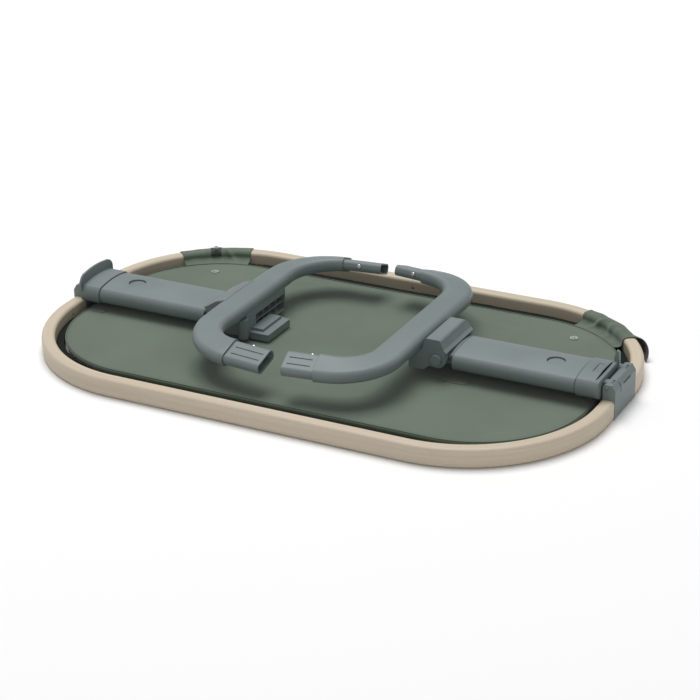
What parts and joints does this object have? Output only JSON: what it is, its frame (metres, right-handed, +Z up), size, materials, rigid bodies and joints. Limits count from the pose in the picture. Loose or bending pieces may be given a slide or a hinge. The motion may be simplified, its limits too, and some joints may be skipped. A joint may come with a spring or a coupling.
{
  "type": "folding bedside cot",
  "caption": "Bedside baby cot folded flat and lying upside down: bent-wood ring with a fabric bottom, telescoping end legs and U-shaped feet folded over it.",
  "frame": {"origin": "on the floor under the middle of the ring", "axes": "+X along the ring towards the right-hand end, +Y away from the near side, +Z up from the floor"},
  "size_m": [0.9316, 0.555, 0.0888],
  "materials": {
    "beech": "pale bent beech, thin matt lacquer",
    "grey_plastic": "moulded slate grey-green nylon, fine texture",
    "grey_paint": "powder-coated slate grey-green tube",
    "inner_tube": "darker coated inner tube",
    "steel": "plain steel",
    "green_cloth": "sage green plain-weave polyester",
    "dark_cloth": "dark green mesh",
    "board": "stiff board",
    "foam": "quilted pad"
  },
  "bodies": {
    "ring": {"rim_wood_near": "beech", "rim_wood_far": "beech", "end_bracket_left": "grey_plastic", "end_bracket_right": "grey_plastic", "pivot_pin_left": "steel", "pivot_pin_right": "steel", "rim_screws": "steel", "side_wall": "dark_cloth", "base_board": "board", "mattress": "foam", "base_cover": "green_cloth", "base_snaps": "steel", "strap_pocket": "green_cloth", "side_tab": "green_cloth", "rim_wrap_left": "green_cloth", "rim_wrap_right": "green_cloth", "zipper_tape": "dark_cloth", "zipper_slider": "steel"},
    "leg_left": {"leg_collar_left": "grey_plastic", "column_outer_left": "grey_paint", "height_spring_left": "steel"},
    "height_button_left": {"height_button_left": "grey_plastic"},
    "slide_left": {"column_inner_left": "inner_tube", "foot_hinge_pin_left": "grey_plastic"},
    "foot_left": {"foot_hinge_left": "grey_plastic", "foot_tube_left": "grey_paint", "spigot_near_left": "grey_paint", "spigot_far_left": "grey_paint", "snap_spring_near_left": "steel", "snap_spring_far_left": "steel"},
    "snap_near_left": {"snap_button_near_left": "steel"},
    "snap_far_left": {"snap_button_far_left": "steel"},
    "leg_right": {"leg_collar_right": "grey_plastic", "column_outer_right": "grey_paint", "height_spring_right": "steel"},
    "height_button_right": {"height_button_right": "grey_plastic"},
    "slide_right": {"column_inner_right": "inner_tube", "foot_hinge_pin_right": "grey_plastic"},
    "foot_right": {"foot_hinge_right": "grey_plastic", "foot_tube_right": "grey_paint", "spigot_near_right": "grey_paint", "spigot_far_right": "grey_paint", "snap_spring_near_right": "steel", "snap_spring_far_right": "steel"},
    "snap_near_right": {"snap_button_near_right": "steel"},
    "snap_far_right": {"snap_button_far_right": "steel"}
  },
  "joints": [
    {"name": "left_leg_fold", "type": "hinge", "parent": "ring", "child": "leg_left", "pos_m": [-0.452, 0, 0.044], "axis": [0, -1, 0], "range_deg": [0, 90]},
    {"name": "left_height", "type": "slide", "parent": "leg_left", "child": "slide_left", "axis": [1, 0, 0], "range_m": [0, 0.0665]},
    {"name": "left_foot_fold", "type": "hinge", "parent": "slide_left", "child": "foot_left", "pos_m": [-0.193, 0, 0.049], "axis": [0, -1, 0], "range_deg": [-90.5, 0]},
    {"name": "left_height_button", "type": "slide", "parent": "leg_left", "child": "height_button_left", "axis": [0, 0, -1], "range_m": [0, 0.003], "stiffness_N_per_m": 300, "springref_m": -0.002, "deforming": ["height_spring_left"]},
    {"name": "near_left_snap", "type": "slide", "parent": "foot_left", "child": "snap_near_left", "axis": [-0.113, -0.9203, -0.3746], "range_m": [0, 0.003], "stiffness_N_per_m": 300, "springref_m": -0.002},
    {"name": "far_left_snap", "type": "slide", "parent": "foot_left", "child": "snap_far_left", "axis": [-0.113, 0.9203, -0.3746], "range_m": [0, 0.003], "stiffness_N_per_m": 300, "springref_m": -0.002},
    {"name": "right_leg_fold", "type": "hinge", "parent": "ring", "child": "leg_right", "pos_m": [0.452, 0, 0.048], "axis": [0, 1, 0], "range_deg": [0, 90]},
    {"name": "right_height", "type": "slide", "parent": "leg_right", "child": "slide_right", "axis": [-1, 0, 0], "range_m": [0, 0.0665]},
    {"name": "right_foot_fold", "type": "hinge", "parent": "slide_right", "child": "foot_right", "pos_m": [0.193, 0, 0.053], "axis": [0, 1, 0], "range_deg": [-90.5, 0]},
    {"name": "right_height_button", "type": "slide", "parent": "leg_right", "child": "height_button_right", "axis": [0, 0, -1], "range_m": [0, 0.003], "stiffness_N_per_m": 300, "springref_m": -0.002, "deforming": ["height_spring_right"]},
    {"name": "near_right_snap", "type": "slide", "parent": "foot_right", "child": "snap_near_right", "axis": [0.113, -0.9203, -0.3746], "range_m": [0, 0.003], "stiffness_N_per_m": 300, "springref_m": -0.002},
    {"name": "far_right_snap", "type": "slide", "parent": "foot_right", "child": "snap_far_right", "axis": [0.113, 0.9203, -0.3746], "range_m": [0, 0.003], "stiffness_N_per_m": 300, "springref_m": -0.002}
  ],
  "couplings": [
    {"joint": "left_foot_fold", "follows": "left_leg_fold", "ratio": -1},
    {"joint": "left_height", "follows": "left_leg_fold", "m_per_rad": 0.04202},
    {"joint": "right_foot_fold", "follows": "right_leg_fold", "ratio": -1},
    {"joint": "right_height", "follows": "right_leg_fold", "m_per_rad": 0.04202}
  ]
}
